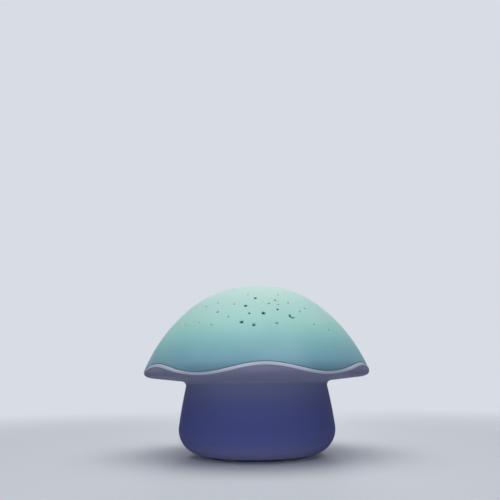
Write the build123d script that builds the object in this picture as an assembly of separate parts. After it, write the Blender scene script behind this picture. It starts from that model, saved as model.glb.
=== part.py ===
from build123d import *
from math import asin, atan2, cos, degrees, hypot, pi, radians, sin, sqrt, tan
import os

# Star night light: a domed cap with star windows on a flared base, run by three AA cells.
# Millimetres, +Z up, origin on the floor under the centre, front towards -Y, buttons at +Y.

# ---------------------------------------------------------------- driving dimensions
# Cap
overall_height = 105.7
crown_radius = 64.5       # radius of the cap's crown
crown_angle = 39.5        # degrees from the top at which the crown meets the flank
flank_radius = 98.0       # radius of the steeper flank
cap_wall = 2.0
wave_count = 6            # lobes of the seam between cap and lip, one crest at the front
wave_height = 53.6        # mean height of the seam
wave_points = 8           # spline points on each lobe
wave_reach = 2.65         # rise of a crest and drop of a trough
seam_gap = 0.35
wave_margin = 8.0         # the seam's cutters pass this far beyond the shells
trim_margin = 4.0         # blanks reach this far above the crests
window_depth = 12.0       # the window cutters reach this far either side of the crown's radius
dot_limit = 1.4           # narrower windows are round, wider ones are five-pointed stars
star_waist = 0.46         # inner radius of a star over its outer radius
star_sectors = 3          # the layout repeats this many times round the cap
moon_radius = 2.3
moon_bite_radius = 1.9
moon_bite_shift = 1.25
# azimuth from the front (towards +X), angle from the top, width
star_layout = [
    (-12, 56, 2.8), (1, 50, 3.0), (-11, 44, 2.8), (-5, 58, 2.1), (-8, 50, 1.6), (11, 47, 2.0),
    (8, 57, 1.4), (-30, 48, 1.7), (-21, 52, 1.3), (-30, 57, 1.2), (-40, 55, 1.3), (-20, 42, 1.3),
    (-4, 37, 2.6), (-11, 33, 1.1), (6, 42, 1.3), (12, 39, 1.1), (13, 43, 1.0), (22, 41, 1.1),
    (34, 45, 1.3), (27, 48, 1.9), (32, 57, 1.9), (-45, 42, 1.9), (-35, 40, 1.1), (18, 33, 1.1),
    (48, 55, 1.4), (42, 60, 1.3), (-52, 55, 1.3), (-34, 24, 2.0), (25, 20, 1.3), (2, 14, 1.6),
]
moon_place = (19, 52)     # azimuth and angle from the top
moon_tilt = 40.0          # turn of the crescent's bite, degrees from level

# Clear dome inside the cap
dome_gap = 0.1            # cap to clear dome
dome_wall = 1.6
seat_gap = 0.15           # clear dome to the groove in the brim
groove_wall = 1.2         # brim left under that groove

# Base moulding
foot_height = 1.0         # underside above the floor
base_flat_radius = 33.4
base_corner_radius = 15.2
flare_radius = 320.0      # long curve of the stem
flare_start = 8.0         # degrees from upright where the corner runs into the flare
neck_fillet = 2.8
lip_height = 4.2          # mean height of the lip, from the brim's underside to the seam
brim_slope = 8.6          # degrees
nose_radius = 3.0
lip_proud = 0.3           # lip outside the cap's surface
body_wall = 2.2
neck_steps = 40           # rounds of closing in on the neck's corner
shelf_thickness = 2.0
shelf_width = 2.6
shelf_bite = 1.0          # the shelf goes this far into the wall, past the cover's rim
cover_gap = 0.2

# Cells and their box
cell_diameter = 14.5
cell_length = 50.5
cell_nub_radius = 2.75
cell_nub_height = 1.0
cell_round = 0.5
cell_count = 3
cell_gap = 0.5
cell_floor_gap = 0.2      # cells to the cover's inner face
cell_roof_gap = 0.3
spring_length = 5.2
spring_radius = 3.2
spring_wire = 0.3         # radius of the wire
spring_turns = 4
contact_thickness = 0.4
contact_height = 10.0
box_wall = 1.4
box_corner = 3.0

# Underside cover, door and feet
cover_thickness = 3.2
door_wall = 1.6
door_gap = 0.2
door_lift = 0.1           # door to its ledge
door_corner = 3.0
door_play = 1.0           # opening longer than a cell
side_ledge = 1.0
end_ledge = 1.25
opening_margin = 0.3      # cell box to the opening, each side
door_rib_width = 1.2
door_rib_gap = 0.3        # ribs to cells
door_rib_place = 12.0
door_rib_side = 1.0       # ribs to the opening's sides
opening_corner = 1.0
tab_width = 7.0
tab_length = 1.9
tab_thickness = 1.0
tab_place = 8.0
tab_gap = 0.25
tab_lift = 0.15           # tabs to the rim they hook over
tab_swing = 2.0           # room above the door for the tabs to turn in
tongue_radius = 3.3
tongue_reach = 5.2        # screw centre beyond the door's end
tongue_thickness = 2.6
door_boss_radius = 4.6
door_boss_height = 4.4
door_boss_clearance = 0.3
foot_radius = 3.5
foot_sunk = 0.9
foot_gap = 0.1
foot_round = 0.4
foot_x = 18.0
foot_margin = 0.75        # foot recess to door recess

# Screws: head radius, head height, shank radius
cover_screw = (2.5, 1.3, 1.4)
door_screw_size = (2.4, 1.3, 1.3)
deck_screw = (2.6, 1.7, 1.4)
small_screw = (1.9, 1.2, 1.0)
cover_screw_length = 9.0
door_screw_length = 4.4
deck_screw_length = 8.0
small_screw_length = 5.0
screw_round = 0.4         # rounding of a head over its height, and of a tip over its radius
cross_depth = 0.6         # depth of the cross over the head's height
cross_length = 1.2        # length of the cross over the head's radius
screw_gap = 0.05          # shank to bore
bore_end_gap = 0.2        # bore deeper than its screw
bore_cap = 1.0            # left above a bore in a boss
head_gap = 0.1            # head to counterbore
cross_width = 0.6
boss_radius = 3.0
boss_top = 17.5
rib_bottom = 11.0
rib_thickness = 2.4
rib_bite = 1.6            # rib end inside the outer surface

# Controls at the rear
panel_height = 29.0       # centre above the floor
panel_size = (42.0, 18.0)
panel_flange = 2.0        # flange wider than the panel all round
panel_flange_thickness = 1.2
panel_proud = 0.3
panel_gap = 0.15
flange_inset = 2.25       # face of the panel's flange inside the stem's surface
button_radius = 4.25
button_pitch = 12.5
button_gap = 0.08
button_proud = 1.2
button_round = 0.5
button_travel = 0.8
guide_wall = 1.2
guide_depth = 8.6         # stem's surface to the inner end of the button guides
flange_gap = 0.2
flange_thickness = 1.0
flange_width = 1.1
pusher_radius = 1.5
pusher_length = 2.4
plunger_radius = 1.7
plunger_rest = 0.2        # plunger proud of its switch when pressed home
plunger_length = 1.6
plunger_gap = 0.05
switch_side = 6.0
switch_height = 3.5
switch_bore_spare = 0.2   # bore deeper than the pressed plunger
switch_board_size = (40.0, 17.0)
post_radius = 2.2
post_x = 6.25
post_z = 6.0

# Boards
board_thickness = 1.6
board_size = (44.0, 32.0)
board_corner = 2.0
switch_board_corner = 1.0
standoff_height = 3.4
standoff_radius = 2.6
standoff_x = 18.0
standoff_y = 12.0
chip_size = (10.0, 4.0, 1.6)
chip_place = (-9.0, 1.0)
chip_leads = 8            # on each side
chip_lead_width = 0.35    # over the pitch of the leads
chip_lead_reach = 1.0
chip_stand = 0.1          # chip above the board
capacitor_radius = 3.15
capacitor_height = 8.0
capacitor_place = (13.0, -6.0)
capacitor_round = 0.4
capacitor_neck_depth = 0.25
capacitor_neck_width = 0.6
capacitor_neck_height = 1.2
resistor_size = (2.0, 1.25, 0.6)
resistor_count = 4
resistor_pitch = 2.5
resistor_place = (5.0, 1.0)
connector_size = (10.0, 5.0, 5.0)
connector_y = (-10.0, 11.0)
connector_chamfer = 0.6

# Light
deck_gap = 3.3            # deck's rim to the clear dome
deck_thickness = 1.8
deck_rest_width = 2.5
deck_rest_bite = 1.0      # the rest goes this far into the brim, past the deck's rim
deck_rest_rise = 0.25     # the deck's rest above the brim's inner face
deck_boss_bite = 0.3      # bosses sunk in the stem's wall
deck_boss_radius = 3.2
deck_boss_bottom = 34.0
deck_boss_angles = (30, 150, 270)
wire_hole_radius = 4.0
post_flange_radius = 14.0
post_flange_thickness = 2.0
post_base_radius = 9.5
post_top_radius = 8.2
post_height = 9.0
post_screw_place = 11.6
led_board_radius = 8.0
led_screw_place = 6.0
led_screw_length = 4.0
led_side = 5.0
led_body_height = 1.6
led_lens_radius = 1.9

# Wires
wire_radius = 0.6
wire_pitch = 2.5
led_wire_bend = 4.0
switch_wire_bend = 3.0
battery_wire_bend = 2.0
battery_wire_out = 3.5    # wires beyond the board's edge, inside it and above it
battery_wire_y = 8.0
switch_wire_rise = 4.4
led_wire_turns = (0.35, 0.75)  # heights of the turns over the rise to the deck

# Cutting
cut_past = 1.0            # cutters and blanks pass this far beyond what they shape
far = 200.0               # longer than anything that is cut

# ---------------------------------------------------------------- worked out from the above
crown_centre = overall_height - crown_radius
flank_centre_r = (crown_radius - flank_radius) * sin(radians(crown_angle))
flank_centre_z = crown_centre + (crown_radius - flank_radius) * cos(radians(crown_angle))
corner_centre_z = foot_height + base_corner_radius
flare_centre_r = base_flat_radius + (base_corner_radius - flare_radius) * cos(radians(flare_start))
flare_centre_z = corner_centre_z + (base_corner_radius - flare_radius) * sin(radians(flare_start))
dome_outer = cap_wall + dome_gap
dome_inner = dome_outer + dome_wall
lip_inner = dome_outer - seat_gap
brim_height = wave_height - lip_height
trim_height = wave_height + wave_reach + trim_margin


def dome_radius(z, inset=0.0):
    """Radius of the cap's flank at a height, or of the surface this far inside it."""
    return flank_centre_r + sqrt((flank_radius - inset) ** 2 - (z - flank_centre_z) ** 2)


def stem_radius(z, grow=0.0):
    """Radius of the flared stem at a height, or of the surface this far outside it."""
    return flare_centre_r + sqrt((flare_radius + grow) ** 2 - (z - flare_centre_z) ** 2)


def underside(radius, inset=0.0):
    """Height of the brim's underside at a radius, or of the surface this far above it."""
    rim = dome_radius(brim_height, -lip_proud)
    return brim_height - (rim - radius) * tan(radians(brim_slope)) + inset / cos(radians(brim_slope))


dome_seat_height = underside(dome_radius(brim_height, dome_inner)) + groove_wall
deck_radius = dome_radius(brim_height, dome_inner) - deck_gap
deck_rest_radius = deck_radius + deck_rest_bite
deck_height = underside(deck_rest_radius, body_wall) + deck_rest_rise
deck_boss_place = stem_radius(deck_boss_bottom) - body_wall - deck_boss_radius + deck_boss_bite

cell_pitch = cell_diameter + cell_gap
box_length = cell_length + spring_length + 2 * contact_thickness
box_width = cell_count * cell_pitch + cell_gap
cover_top = foot_height + cover_thickness
cell_height = cover_top + cell_floor_gap + cell_diameter / 2
box_ceiling = cell_height + cell_diameter / 2 + cell_roof_gap
box_top = box_ceiling + box_wall
shelf_inner = hypot(box_length / 2 + box_wall - box_corner, box_width / 2 + box_wall - box_corner)
shelf_inner = shelf_inner + box_corner + cover_gap * 3
cover_radius = shelf_inner + shelf_width

opening_length = cell_length + door_play
opening_width = box_width - 2 * opening_margin
door_length = opening_length + 2 * end_ledge
door_width = opening_width + 2 * side_ledge
door_top = foot_height + door_wall
tongue_top = foot_height + tongue_thickness
door_seat = foot_height + door_screw_size[1] + head_gap
door_boss_top = cover_top + door_boss_height
tab_swing_height = door_top + tab_swing
foot_top = foot_height + foot_sunk
door_screw_x = door_length / 2 + tongue_reach
foot_y = door_width / 2 + door_gap + foot_margin + foot_radius
foot_places = [(x, y) for x in (-foot_x, foot_x) for y in (-foot_y, foot_y)]

board_bottom = box_top + standoff_height
board_top = board_bottom + board_thickness
standoff_places = [(x, y) for x in (-standoff_x, standoff_x) for y in (-standoff_y, standoff_y)]
guide_end = stem_radius(panel_height) - guide_depth
button_places = {"power": -button_pitch, "colour": 0.0, "timer": button_pitch}
flange_front = guide_end - flange_gap
pusher_end = flange_front - flange_thickness - pusher_length
switch_face = pusher_end - button_travel - plunger_rest
switch_bore_depth = plunger_length + button_travel + switch_bore_spare
switch_board_face = switch_face - switch_height
panel_inside = switch_board_face - board_thickness
post_places = [(-post_x, post_z), (post_x, -post_z)]
deck_top = deck_height + deck_thickness
led_board_bottom = deck_top + post_height
led_board_top = led_board_bottom + board_thickness


# ---------------------------------------------------------------- helpers
def at(r, z):
    return Vector(r, 0, z)


def polar(centre_r, centre_z, radius, angle):
    """The point at an angle above level on a circle in the section plane."""
    return at(centre_r + radius * cos(radians(angle)), centre_z + radius * sin(radians(angle)))


def turned(edges):
    """A solid of revolution from a closed run of edges in the section plane."""
    return revolve(Face(Wire(edges)), Axis.Z)


def rod(radius, low, high, x=0.0, y=0.0):
    return Pos(x, y, (low + high) / 2) * Cylinder(radius, high - low)


def rod_y(radius, low, high, x, z):
    return Pos(x, (low + high) / 2, z) * Rot(90, 0, 0) * Cylinder(radius, high - low)


def block(size_x, size_y, low, high, x=0.0, y=0.0):
    return Pos(x, y, (low + high) / 2) * Box(size_x, size_y, high - low)


def pad(length, width, corner, low, high):
    """A plate with rounded corners."""
    return extrude(Pos(0, 0, low) * RectangleRounded(length, width, corner), high - low)


def ring(inner, outer, low, high):
    return rod(outer, low, high) - rod(inner, low - cut_past, high + cut_past)


def stadium(size, low, high):
    """A slot-shaped block along Y, centred on the control panel."""
    plane = Plane(origin=(0, low, panel_height), x_dir=(1, 0, 0), z_dir=(0, 1, 0))
    return extrude(plane * SlotOverall(size[0], size[1]), high - low)


def stem_band(grow):
    """The solid stem where the panel is, with its surface moved outwards."""
    low = panel_height - panel_size[1]
    high = panel_height + panel_size[1]
    curve = Edge.make_three_point_arc(
        at(stem_radius(low, grow), low),
        at(stem_radius(panel_height, grow), panel_height),
        at(stem_radius(high, grow), high),
    )
    return turned([
        Edge.make_line(at(0, low), curve @ 0),
        curve,
        Edge.make_line(curve @ 1, at(0, high)),
        Edge.make_line(at(0, high), at(0, low)),
    ])


def dome_curves(inset, foot):
    """Crown and flank of the cap, this far inside its surface, down to a height."""
    flank_end = degrees(asin((foot - flank_centre_z) / (flank_radius - inset)))
    joint = 90 - crown_angle
    crown = Edge.make_three_point_arc(
        polar(0, crown_centre, crown_radius - inset, 90),
        polar(0, crown_centre, crown_radius - inset, (90 + joint) / 2),
        polar(0, crown_centre, crown_radius - inset, joint),
    )
    flank = Edge.make_three_point_arc(
        polar(flank_centre_r, flank_centre_z, flank_radius - inset, joint),
        polar(flank_centre_r, flank_centre_z, flank_radius - inset, (joint + flank_end) / 2),
        polar(flank_centre_r, flank_centre_z, flank_radius - inset, flank_end),
    )
    return crown, flank


def dome_shell(outer, inner, foot):
    """A dome between two insets, with a level foot."""
    outer_crown, outer_flank = dome_curves(outer, foot)
    inner_crown, inner_flank = dome_curves(inner, foot)
    return turned([
        outer_crown,
        outer_flank,
        Edge.make_line(outer_flank @ 1, inner_flank @ 1),
        inner_flank,
        inner_crown,
        Edge.make_line(inner_crown @ 0, outer_crown @ 0),
    ])


def wave_edge(radius, lift):
    """The seam's closed curve on a cylinder."""
    count = wave_count * wave_points
    turns = [2 * pi * step / count for step in range(count)]
    points = [
        (radius * sin(turn), -radius * cos(turn), wave_height + lift + wave_reach * cos(wave_count * turn))
        for turn in turns
    ]
    return Wire([Spline(points, periodic=True)])


def wave_halves(lift):
    """A thick tube round the seam, cut along it: the part below and the part above."""
    inner = dome_radius(trim_height, dome_inner) - wave_margin
    outer = dome_radius(dome_seat_height) + wave_margin
    edges = [wave_edge(inner - cut_past, lift), wave_edge(outer + cut_past, lift)]
    sheet = Shell.make_loft(edges, ruled=True)
    tube = ring(inner, outer, foot_height, trim_height + wave_margin)
    halves = tube.solid().split(sheet, keep=Keep.BOTH)
    return sorted(halves, key=lambda half: half.center().Z)


def screw(size, length):
    """A cross-headed screw, head above the level of its seat and shank below."""
    head_radius, head_height, shank_radius = size
    head = rod(head_radius, 0, head_height)
    head = fillet(head.edges().sort_by(Axis.Z)[-1], head_height * screw_round)
    body = head + rod(shank_radius, -length, 0)
    body = chamfer(body.edges().sort_by(Axis.Z)[0], shank_radius * screw_round)
    reach = head_radius * cross_length
    for size_x, size_y in ((reach, cross_width), (cross_width, reach)):
        body = body - block(size_x, size_y, head_height * (1 - cross_depth), head_height + cut_past)
    return body


def group(solids):
    return Compound([piece.solid() for piece in solids])


def save(name, shape):
    export_step(shape, os.path.join("parts", name + ".step"))


# ---------------------------------------------------------------- cap and clear dome
def window_plane(azimuth, angle):
    """A plane outside the crown that faces outwards, its x axis level."""
    turn = radians(azimuth)
    tip = radians(angle)
    out = Vector(sin(tip) * sin(turn), -sin(tip) * cos(turn), cos(tip))
    start = Vector(0, 0, crown_centre) + out * (crown_radius - window_depth)
    return Plane(origin=start, x_dir=(cos(turn), sin(turn), 0), z_dir=out)


def star_face(width):
    if width < dot_limit:
        return Circle(width / 2)
    spokes = []
    for step in range(10):
        reach = width / 2 if step % 2 == 0 else width / 2 * star_waist
        turn = pi / 2 + step * pi / 5
        spokes.append((reach * cos(turn), reach * sin(turn)))
    return make_face(Polyline(*spokes, close=True))


def moon_face():
    bite = Pos(moon_bite_shift * cos(radians(moon_tilt)), moon_bite_shift * sin(radians(moon_tilt)))
    return Circle(moon_radius) - bite * Circle(moon_bite_radius)


def windows():
    """Cutters for every star window and crescent."""
    cutters = []
    for sector in range(star_sectors):
        turn = sector * 360 / star_sectors
        for azimuth, angle, width in star_layout:
            plane = window_plane(azimuth + turn, angle)
            cutters.append(extrude(plane * star_face(width), 2 * window_depth))
        plane = window_plane(moon_place[0] + turn, moon_place[1])
        cutters.append(extrude(plane * moon_face(), 2 * window_depth))
    return cutters


def cap_shell():
    shell = dome_shell(0, cap_wall, dome_seat_height)
    below, above = wave_halves(seam_gap)
    shell = shell - below
    return shell - windows()


def star_lens_dome():
    return dome_shell(dome_outer, dome_inner, dome_seat_height)


# ---------------------------------------------------------------- base moulding
def neck_point(inset):
    """Where the stem's surface meets the underside of the brim, this far inside both."""
    height = brim_height
    for _ in range(neck_steps):
        radius = stem_radius(height, -inset)
        height = underside(radius, inset)
    return at(radius, height)


def stem_edges(inset, low):
    """Underside, corner and flare of the base, this far inside its surface."""
    corner = Edge.make_three_point_arc(
        polar(base_flat_radius, corner_centre_z, base_corner_radius - inset, -90),
        polar(base_flat_radius, corner_centre_z, base_corner_radius - inset, -40),
        polar(base_flat_radius, corner_centre_z, base_corner_radius - inset, flare_start),
    )
    neck = neck_point(inset)
    middle = (neck.Z + (corner @ 1).Z) / 2
    flare = Edge.make_three_point_arc(corner @ 1, at(stem_radius(middle, -inset), middle), neck)
    return [Edge.make_line(at(0, low), corner @ 0), corner, flare]


def lip_edge(inset, low, high):
    """The lip's face from one height to another."""
    middle = (low + high) / 2
    return Edge.make_three_point_arc(
        at(dome_radius(low, inset), low),
        at(dome_radius(middle, inset), middle),
        at(dome_radius(high, inset), high),
    )


def rounded(edges, radius, point):
    """A closed wire with one of its corners rounded."""
    wire = Wire(edges)
    corner = wire.vertices().sort_by_distance(point)[0]
    return wire.fillet_2d(radius, [corner])


def base_outside():
    """The solid base up to a level above the seam."""
    edges = stem_edges(0, foot_height)
    neck = neck_point(0)
    lip = lip_edge(-lip_proud, brim_height, trim_height)
    edges += [
        Edge.make_line(neck, lip @ 0),
        lip,
        Edge.make_line(lip @ 1, at(0, trim_height)),
        Edge.make_line(at(0, trim_height), at(0, foot_height)),
    ]
    wire = rounded(edges, neck_fillet, neck)
    return revolve(Face(rounded(wire.edges(), nose_radius, lip @ 0)), Axis.Z)


def base_inside():
    """The space inside the base, with the groove that the clear dome stands in."""
    floor = foot_height + body_wall
    edges = stem_edges(body_wall, floor)
    neck = neck_point(body_wall)
    groove = dome_radius(brim_height + body_wall, dome_inner + seat_gap)
    groove_top = at(groove, underside(groove, body_wall))
    lip = lip_edge(lip_inner, dome_seat_height, trim_height + cut_past)
    edges += [
        Edge.make_line(neck, groove_top),
        Edge.make_line(groove_top, at(groove, dome_seat_height)),
        Edge.make_line(at(groove, dome_seat_height), lip @ 0),
        lip,
        Edge.make_line(lip @ 1, at(0, trim_height + cut_past)),
        Edge.make_line(at(0, trim_height + cut_past), at(0, floor)),
    ]
    return revolve(Face(rounded(edges, neck_fillet + body_wall, neck)), Axis.Z)


def cover_boss(x, y):
    """A boss for a cover screw, tied to the wall by a rib."""
    boss = rod(boss_radius, cover_top, boss_top, x, y)
    wall = stem_radius(boss_top) - rib_bite
    reach = wall - hypot(x, y)
    angle = degrees(atan2(y, x))
    rib = block(reach, rib_thickness, rib_bottom, boss_top, hypot(x, y) + reach / 2)
    bore = rod(cover_screw[2] + screw_gap, cover_top - cut_past, boss_top - bore_cap, x, y)
    return boss + Rot(0, 0, angle) * rib, bore


def deck_boss(angle):
    """A boss on the stem's wall for a deck screw."""
    x = deck_boss_place * cos(radians(angle))
    y = deck_boss_place * sin(radians(angle))
    boss = rod(deck_boss_radius, deck_boss_bottom, deck_height, x, y)
    bore_bottom = deck_height - deck_screw_length
    bore = rod(deck_screw[2] + screw_gap, bore_bottom, deck_height + cut_past, x, y)
    return boss, bore


def body_shell():
    body = base_outside() - base_inside()
    body = body + ring(shelf_inner, cover_radius + shelf_bite, cover_top, cover_top + shelf_thickness)
    rest_bottom = underside(deck_radius - deck_rest_width, body_wall / 2)
    body = body + ring(deck_radius - deck_rest_width, deck_rest_radius, rest_bottom, deck_height)
    body = body - rod(cover_radius + cover_gap, 0, cover_top)
    body = body - rod(shelf_inner, 0, cover_top + shelf_thickness)
    bosses = [cover_boss(x, y) for x, y in foot_places] + [deck_boss(angle) for angle in deck_boss_angles]
    for boss, bore in bosses:
        body = body + boss
    for boss, bore in bosses:
        body = body - bore
    body = body - stadium([side + 2 * panel_gap for side in panel_size], panel_inside, far)
    below, above = wave_halves(0)
    return body - above


# ---------------------------------------------------------------- underside cover, door and feet
def tab_block(length_out, length_in, width, low, high, y):
    """A block across the door's hinge end, from outside the end to inside it."""
    start = -door_length / 2 - length_out
    end = -door_length / 2 + length_in
    return block(end - start, width, low, high, (start + end) / 2, y)


def bottom_cover():
    cover = base_outside() & rod(cover_radius, 0, cover_top)
    cover = cover + pad(box_length + 2 * box_wall, box_width + 2 * box_wall, box_corner, cover_top, box_top)
    cover = cover + rod(door_boss_radius, cover_top, door_boss_top, door_screw_x)
    for x, y in standoff_places:
        cover = cover + rod(standoff_radius, box_top, board_bottom, x, y)
        bore_bottom = board_top - small_screw_length - bore_end_gap
        cover = cover - rod(small_screw[2] + screw_gap, bore_bottom, board_top, x, y)
    cover = cover - pad(box_length, box_width, box_corner - box_wall, cover_top, box_ceiling)
    cover = cover - pad(opening_length, opening_width, opening_corner, 0, cover_top + cut_past)
    recess_top = door_top + door_lift
    recess = (door_length + 2 * door_gap, door_width + 2 * door_gap, door_corner + door_gap)
    cover = cover - pad(*recess, 0, recess_top)
    tongue_side = 2 * (tongue_radius + door_gap)
    cover = cover - block(door_screw_x, tongue_side, 0, recess_top, door_screw_x / 2)
    cover = cover - rod(tongue_radius + door_gap, 0, tongue_top + door_lift, door_screw_x)
    cover = cover - rod(door_screw_size[2] + door_boss_clearance, 0, door_boss_top - bore_cap, door_screw_x)
    for y in (-tab_place, tab_place):
        reach = tab_length + tab_gap
        cover = cover - tab_block(reach, end_ledge, tab_width + 2 * tab_gap, door_top, tab_swing_height, y)
    for x, y in foot_places:
        cover = cover - rod(foot_radius + foot_gap, 0, foot_top, x, y)
        cover = cover - rod(cover_screw[0] + head_gap, 0, foot_top + cover_screw[1], x, y)
        cover = cover - rod(cover_screw[2] + screw_gap, 0, cover_top, x, y)
    return cover


def battery_door():
    door = pad(door_length, door_width, door_corner, foot_height, door_top)
    door = door + block(door_screw_x, 2 * tongue_radius, foot_height, door_top, door_screw_x / 2)
    door = door + rod(tongue_radius, foot_height, tongue_top, door_screw_x)
    for x in (-door_rib_place, door_rib_place):
        rib_top = cell_height - cell_diameter / 2 - door_rib_gap
        door = door + block(door_rib_width, opening_width - 2 * door_rib_side, door_top, rib_top, x)
    for y in (-tab_place, tab_place):
        low = door_top + tab_lift
        door = door + tab_block(tab_length, end_ledge + tab_gap, tab_width, low, low + tab_thickness, y)
        door = door + tab_block(0, end_ledge + tab_gap, tab_width, door_top, low, y)
    door = door & base_outside()
    door = door - rod(door_screw_size[0] + head_gap, 0, door_seat, door_screw_x)
    return door - rod(door_screw_size[2] + screw_gap, 0, tongue_top, door_screw_x)


def door_screw():
    return Pos(door_screw_x, 0, door_seat) * Rot(180, 0, 0) * screw(door_screw_size, door_screw_length)


def bottom_cover_screws():
    seat = foot_top + cover_screw[1]
    single = Pos(0, 0, seat) * Rot(180, 0, 0) * screw(cover_screw, cover_screw_length)
    return group([Pos(x, y, 0) * single for x, y in foot_places])


def rubber_feet():
    foot = rod(foot_radius, 0, foot_top)
    foot = fillet(foot.edges().sort_by(Axis.Z)[0], foot_round)
    return group([Pos(x, y, 0) * foot for x, y in foot_places])


# ---------------------------------------------------------------- cells and contacts
def along_x(side):
    """Turns what stands on Z to lie along X: side 1 points towards +X, side -1 towards -X."""
    return Rot(0, 90 * side, 0)


def cell(row):
    """A cell with its flat end on the spring, every second one turned round."""
    can = fillet(rod(cell_diameter / 2, 0, cell_length - cell_nub_height).edges(), cell_round)
    nub = rod(cell_nub_radius, cell_length / 2, cell_length)
    side = 1 if row % 2 == 0 else -1
    start = side * (spring_length + contact_thickness - box_length / 2)
    return Pos(start, cell_y(row), cell_height) * along_x(side) * (can + nub)


def cell_y(row):
    return (row - (cell_count - 1) / 2) * cell_pitch


def battery_springs():
    coils = []
    rise = spring_length - 2 * spring_wire
    for row in range(cell_count):
        path = Helix(rise / spring_turns, rise, spring_radius)
        section = Plane(origin=path @ 0, z_dir=path % 0) * Circle(spring_wire)
        coil = sweep(section, path, is_frenet=True)
        side = 1 if row % 2 == 0 else -1
        start = side * (contact_thickness + spring_wire - box_length / 2)
        coils.append(Pos(start, cell_y(row), cell_height) * along_x(side) * coil)
    return group(coils)


def contact_plates():
    """Flat contacts at both ends: single ones for the leads, double ones that link two cells."""
    plates = []
    for side, rows in ((-1, (0, 0)), (-1, (1, 2)), (1, (0, 1)), (1, (2, 2))):
        first = cell_y(rows[0]) - contact_height / 2
        last = cell_y(rows[1]) + contact_height / 2
        x = side * (box_length - contact_thickness) / 2
        low = cell_height - contact_height / 2
        plate = block(contact_thickness, last - first, low, low + contact_height)
        plates.append(Pos(x, (first + last) / 2, 0) * plate)
    return group(plates)


# ---------------------------------------------------------------- controls
def control_panel():
    front = stadium(panel_size, panel_inside, far)
    front = front & (stem_band(panel_proud) - stem_band(-flange_inset - panel_flange_thickness / 2))
    flange = stadium([side + 2 * panel_flange for side in panel_size], panel_inside, far)
    flange = flange & (stem_band(-flange_inset) - stem_band(-flange_inset - panel_flange_thickness))
    panel = front + flange
    core = stem_band(-flange_inset)
    for x in button_places.values():
        guide = rod_y(button_radius + button_gap + guide_wall, guide_end, far, x, panel_height)
        panel = panel + (guide & core)
    for x, z in post_places:
        panel = panel + (rod_y(post_radius, switch_board_face, far, x, panel_height + z) & core)
    for x in button_places.values():
        panel = panel - rod_y(button_radius + button_gap, 0, far, x, panel_height)
    for x, z in post_places:
        bore = small_screw[2] + screw_gap
        bore_end = switch_board_face - board_thickness + small_screw_length + bore_end_gap
        panel = panel - rod_y(bore, 0, bore_end, x, panel_height + z)
    return panel


def button(x):
    flange_back = flange_front - flange_thickness
    cap = rod_y(button_radius, flange_back, far, x, panel_height) & stem_band(button_proud)
    cap = fillet(cap.edges().sort_by(Axis.Y)[-1], button_round)
    flange = rod_y(button_radius + flange_width, flange_back, flange_front, x, panel_height)
    pusher = rod_y(pusher_radius, pusher_end, flange_front, x, panel_height)
    return cap + flange + pusher


def plunger(x):
    return rod_y(plunger_radius, switch_face - plunger_length, pusher_end, x, panel_height)


def switch_bodies():
    bodies = []
    for x in button_places.values():
        middle = (switch_face + switch_board_face) / 2
        body = Pos(x, middle, panel_height) * Box(switch_side, switch_height, switch_side)
        bore = rod_y(plunger_radius + plunger_gap, switch_face - switch_bore_depth, far, x, panel_height)
        bodies.append(body - bore)
    return group(bodies)


def switch_board():
    middle = switch_board_face - board_thickness / 2
    board = Pos(0, middle, panel_height) * Box(switch_board_size[0], board_thickness, switch_board_size[1])
    board = fillet(board.edges().filter_by(Axis.Y), switch_board_corner)
    for x, z in post_places:
        board = board - rod_y(small_screw[2] + screw_gap, 0, far, x, panel_height + z)
    return board


def switch_board_screws():
    seat = switch_board_face - board_thickness
    single = Rot(90, 0, 0) * screw(small_screw, small_screw_length)
    return group([Pos(x, seat, panel_height + z) * single for x, z in post_places])


# ---------------------------------------------------------------- main board
def main_board():
    board = pad(board_size[0], board_size[1], board_corner, board_bottom, board_top)
    for x, y in standoff_places:
        board = board - rod(small_screw[2] + screw_gap, 0, far, x, y)
    return board


def main_board_screws():
    single = Pos(0, 0, board_top) * screw(small_screw, small_screw_length)
    return group([Pos(x, y, 0) * single for x, y in standoff_places])


def controller_chip():
    length, width, height = chip_size
    x, y = chip_place
    chip = block(length, width, board_top + chip_stand, board_top + height, x, y)
    pitch = length / chip_leads
    lead_top = board_top + height / 2
    across = width + 2 * chip_lead_reach
    for lead in range(chip_leads):
        place = x + (lead - (chip_leads - 1) / 2) * pitch
        chip = chip + block(pitch * chip_lead_width, across, board_top, lead_top, place, y)
    return chip


def board_capacitor():
    x, y = capacitor_place
    can = rod(capacitor_radius, board_top, board_top + capacitor_height, x, y)
    low = board_top + capacitor_neck_height
    high = low + capacitor_neck_width
    neck = ring(capacitor_radius - capacitor_neck_depth, capacitor_radius + cut_past, low, high)
    can = fillet(can.edges().sort_by(Axis.Z)[-1], capacitor_round)
    return can - Pos(x, y, 0) * neck


def chip_resistors():
    length, width, height = resistor_size
    first = resistor_place[1] - resistor_pitch * (resistor_count - 1) / 2
    single = block(length, width, board_top, board_top + height, resistor_place[0], first)
    return group([Pos(0, step * resistor_pitch, 0) * single for step in range(resistor_count)])


def board_connectors():
    length, width, height = connector_size
    housings = []
    for y in connector_y:
        housing = block(length, width, board_top, board_top + height, 0, y)
        housings.append(chamfer(housing.edges().filter_by(Axis.Z), connector_chamfer))
    return group(housings)


# ---------------------------------------------------------------- light
def light_deck():
    deck = rod(deck_radius, deck_height, deck_top) - rod(wire_hole_radius, 0, far)
    for angle in deck_boss_angles:
        deck = deck - Rot(0, 0, angle) * rod(deck_screw[2] + screw_gap, 0, far, deck_boss_place)
    for x in (-post_screw_place, post_screw_place):
        deck = deck - rod(small_screw[2] + screw_gap, 0, far, x)
    return deck


def light_deck_screws():
    single = Pos(deck_boss_place, 0, deck_top) * screw(deck_screw, deck_screw_length)
    return group([Rot(0, 0, angle) * single for angle in deck_boss_angles])


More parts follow.
